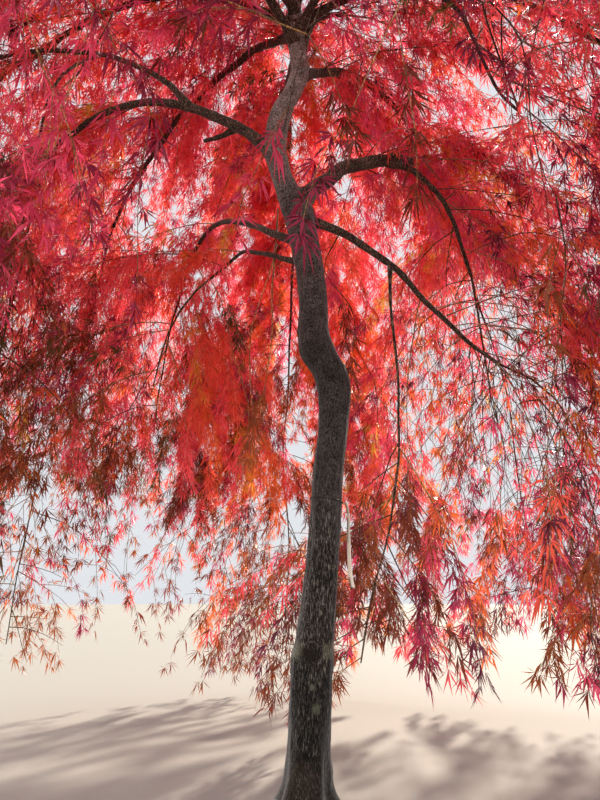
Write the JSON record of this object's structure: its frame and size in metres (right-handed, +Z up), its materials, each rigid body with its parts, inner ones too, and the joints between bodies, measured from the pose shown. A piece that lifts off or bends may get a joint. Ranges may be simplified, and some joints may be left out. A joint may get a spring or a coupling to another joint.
{
  "type": "weeping maple tree",
  "caption": "Weeping laceleaf maple in autumn red: a kinked trunk with arching limbs under an umbrella of feathery foliage that hangs almost to the ground.",
  "frame": {"origin": "middle of the trunk's flat cut at ground level", "axes": "+Z up the trunk, -Y towards the side from which the crown is parted and the trunk shows, +X to the right from there"},
  "size_m": [4.7879, 4.8169, 3.8755],
  "materials": {
    "bark": "fissured bark",
    "limb_bark": "smooth bark",
    "foliage": "soft leaves",
    "rubber": "dull black tie with a pale strip"
  },
  "bodies": {
    "root": {"trunk": "bark", "bough_back_left": "limb_bark", "bough_back_left_low": "limb_bark", "bough_hanging": "limb_bark", "bough_left": "limb_bark", "bough_left_fall": "limb_bark", "bough_left_high": "limb_bark", "bough_left_shoot": "limb_bark", "bough_low_right": "limb_bark", "bough_right": "limb_bark", "bough_right_fall": "limb_bark", "bough_right_high": "limb_bark", "rib_back": "limb_bark", "rib_back_fall": "limb_bark", "rib_back_left": "limb_bark", "rib_back_left_fall": "limb_bark", "rib_back_right": "limb_bark", "rib_back_right_fall": "limb_bark", "rib_front": "limb_bark", "rib_front_fall": "limb_bark", "rib_front_left": "limb_bark", "rib_front_left_fall": "limb_bark", "rib_front_right": "limb_bark", "rib_front_right_fall": "limb_bark", "rib_left": "limb_bark", "rib_left_fall": "limb_bark", "rib_right": "limb_bark", "rib_right_fall": "limb_bark", "stem_front": "limb_bark", "stem_left": "limb_bark", "stem_right": "limb_bark", "foliage_back_left": "foliage", "foliage_back_left_low": "foliage", "foliage_curtain_back": "foliage", "foliage_curtain_back_left": "foliage", "foliage_curtain_back_right": "foliage", "foliage_curtain_front": "foliage", "foliage_curtain_front_left": "foliage", "foliage_curtain_front_right": "foliage", "foliage_curtain_left": "foliage", "foliage_curtain_right": "foliage", "foliage_hanging": "foliage", "foliage_left_fall": "foliage", "foliage_left_high": "foliage", "foliage_left_shoot": "foliage", "foliage_low_right": "foliage", "foliage_right_fall": "foliage", "foliage_shoulder_back": "foliage", "foliage_shoulder_back_left": "foliage", "foliage_shoulder_back_right": "foliage", "foliage_shoulder_front": "foliage", "foliage_shoulder_front_left": "foliage", "foliage_shoulder_front_right": "foliage", "foliage_shoulder_left": "foliage", "foliage_shoulder_right": "foliage", "foliage_top": "foliage", "foliage_top_front": "foliage", "foliage_top_left": "foliage", "foliage_top_right": "foliage", "trunk_tie": "rubber"}
  },
  "joints": []
}
